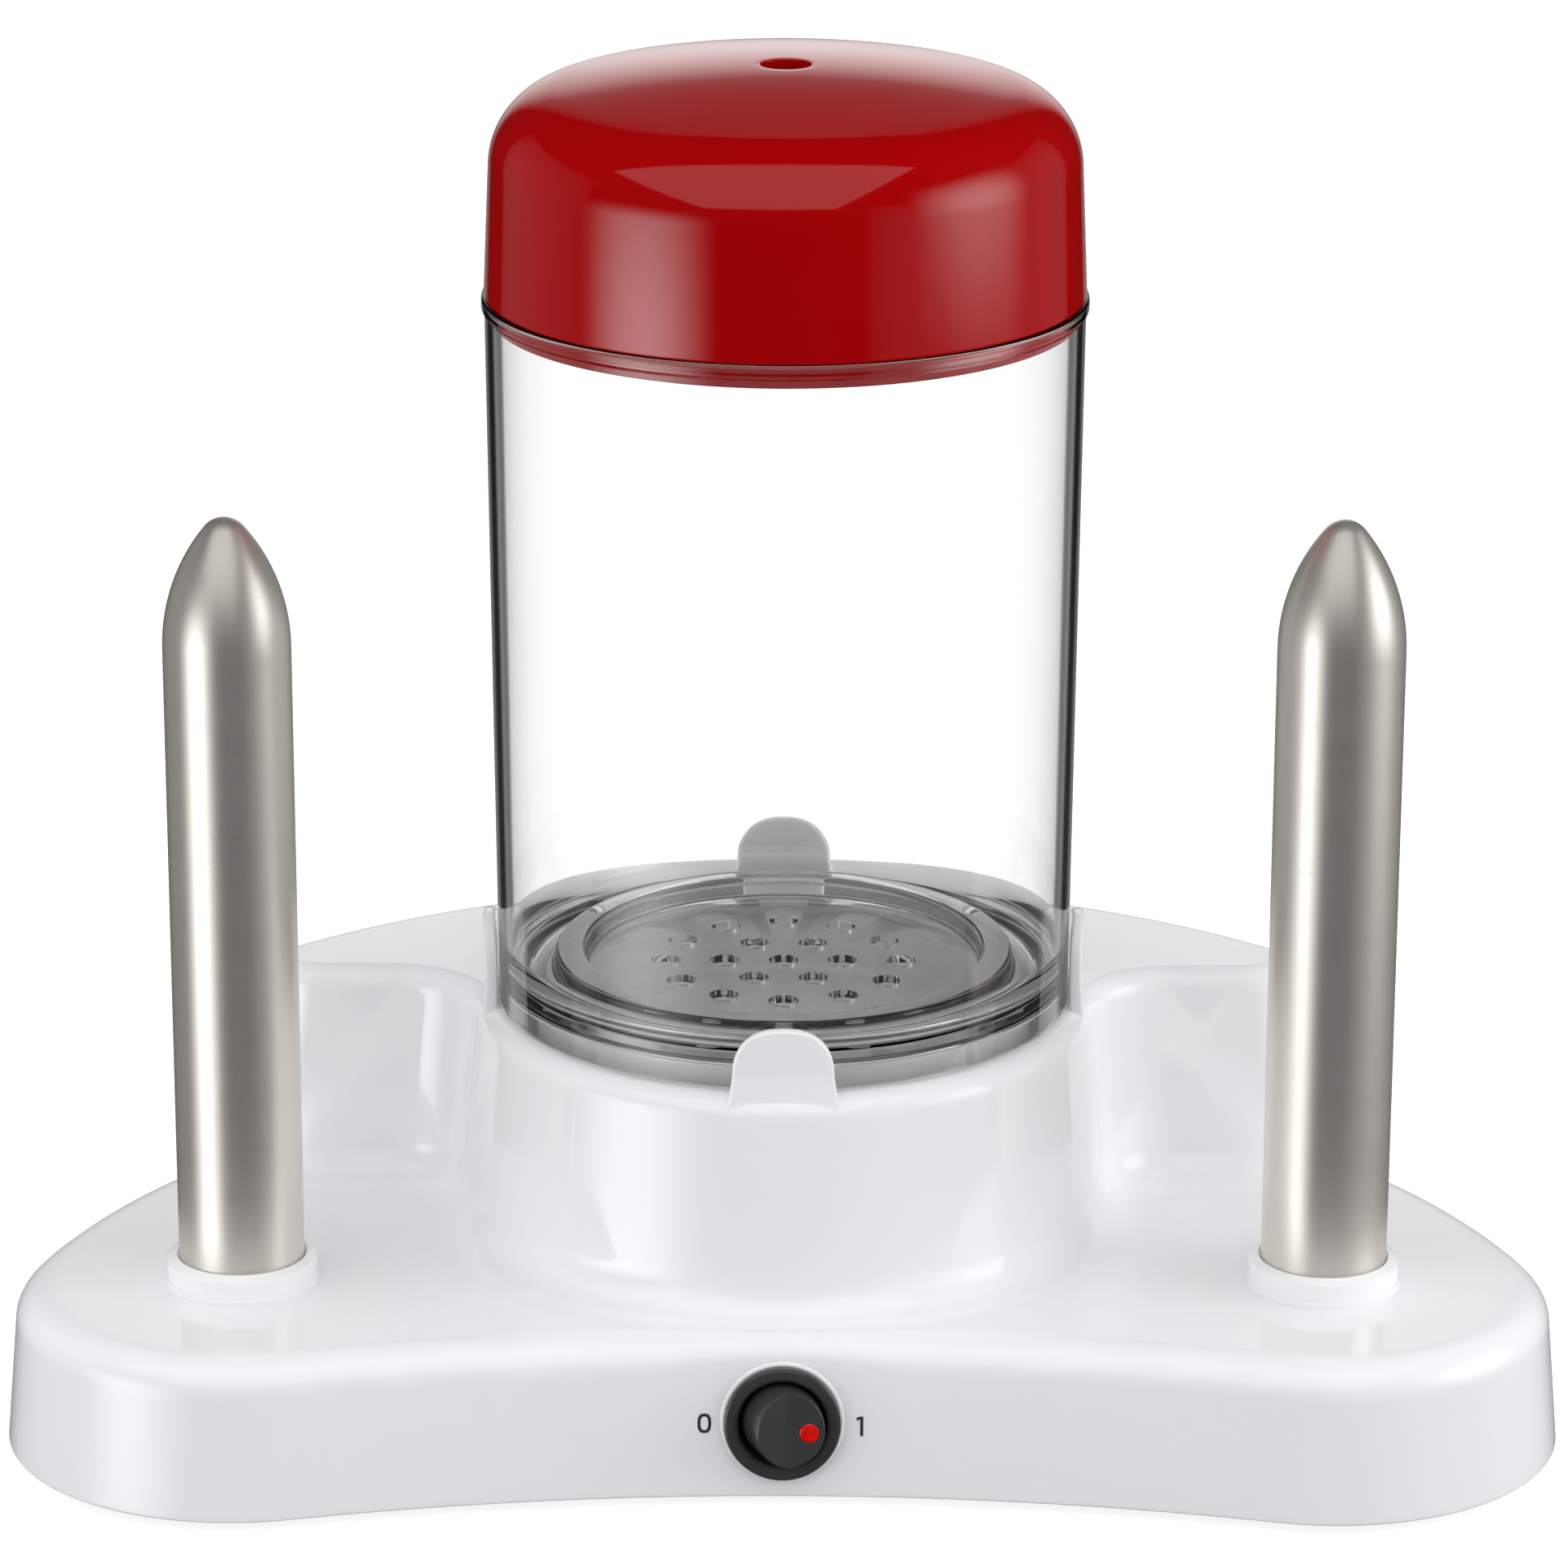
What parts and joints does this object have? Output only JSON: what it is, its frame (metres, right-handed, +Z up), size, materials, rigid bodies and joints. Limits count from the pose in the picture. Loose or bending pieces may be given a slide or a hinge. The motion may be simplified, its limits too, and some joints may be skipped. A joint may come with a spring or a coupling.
{
  "type": "hot dog spike machine",
  "caption": "Table appliance with a clear steaming jar under a red domed lid on a white base, heated bread spikes at both ends and a rocker switch in front.",
  "frame": {"origin": "on the table, under the middle of the machine's outline", "axes": "+Z up, the front with the switch faces -Y, +X to the right of someone who faces the switch"},
  "size_m": [0.311, 0.174, 0.2717],
  "materials": {
    "white_gloss": "moulded gloss",
    "red_gloss": "moulded gloss",
    "clear_plastic": "clear gloss",
    "stainless": "brushed",
    "pressed_steel": "satin",
    "zinc_steel": "zinc plated",
    "aluminium": "machined",
    "heater_sheath": "oxidised sheath",
    "black_plastic": "satin",
    "lamp_red": "clear red",
    "brass": "bright",
    "cover_plastic": "moulded matte",
    "rubber": "matte",
    "silicone": "matte",
    "ceramic": "unglazed",
    "lead_brown": "insulation",
    "lead_blue": "insulation"
  },
  "bodies": {
    "base": {"base_housing": "white_gloss", "bottom_cover": "cover_plastic", "rubber_feet": "rubber", "cover_screws": "zinc_steel", "boiler_dish": "pressed_steel", "boiler_gasket": "silicone", "diffuser_plate": "aluminium", "ring_heater": "heater_sheath", "heater_strap": "zinc_steel", "strap_screws": "zinc_steel", "thermostat": "ceramic", "thermal_fuse": "ceramic", "left_spike": "stainless", "right_spike": "stainless", "left_spike_flange": "stainless", "right_spike_flange": "stainless", "left_spike_collar": "white_gloss", "right_spike_collar": "white_gloss", "left_spike_heater": "heater_sheath", "right_spike_heater": "heater_sheath", "left_spike_clamp": "zinc_steel", "right_spike_clamp": "zinc_steel", "clamp_screws": "zinc_steel", "switch_body": "black_plastic", "switch_terminals": "brass", "terminal_block": "ceramic", "terminal_screws": "brass", "cord_gland": "black_plastic", "lead_switch": "lead_brown", "lead_thermostat": "lead_brown", "lead_ring": "lead_blue", "lead_left": "lead_blue", "lead_right": "lead_blue"},
    "rocker": {"switch_rocker": "black_plastic", "switch_lamp_lens": "lamp_red"},
    "jar": {"jar": "clear_plastic"},
    "lid": {"lid": "red_gloss"}
  },
  "joints": [
    {"name": "rocker_tilt", "type": "hinge", "parent": "base", "child": "rocker", "pos_m": [0, -0.0715, 0.01784], "axis": [0, 0.0906, 0.9959], "range_deg": [-26, 0]},
    {"name": "jar_lift", "type": "slide", "parent": "base", "child": "jar", "axis": [0, 0, 1], "range_m": [0, 0.1]},
    {"name": "lid_lift", "type": "slide", "parent": "jar", "child": "lid", "axis": [0, 0, 1], "range_m": [0, 0.06]}
  ]
}
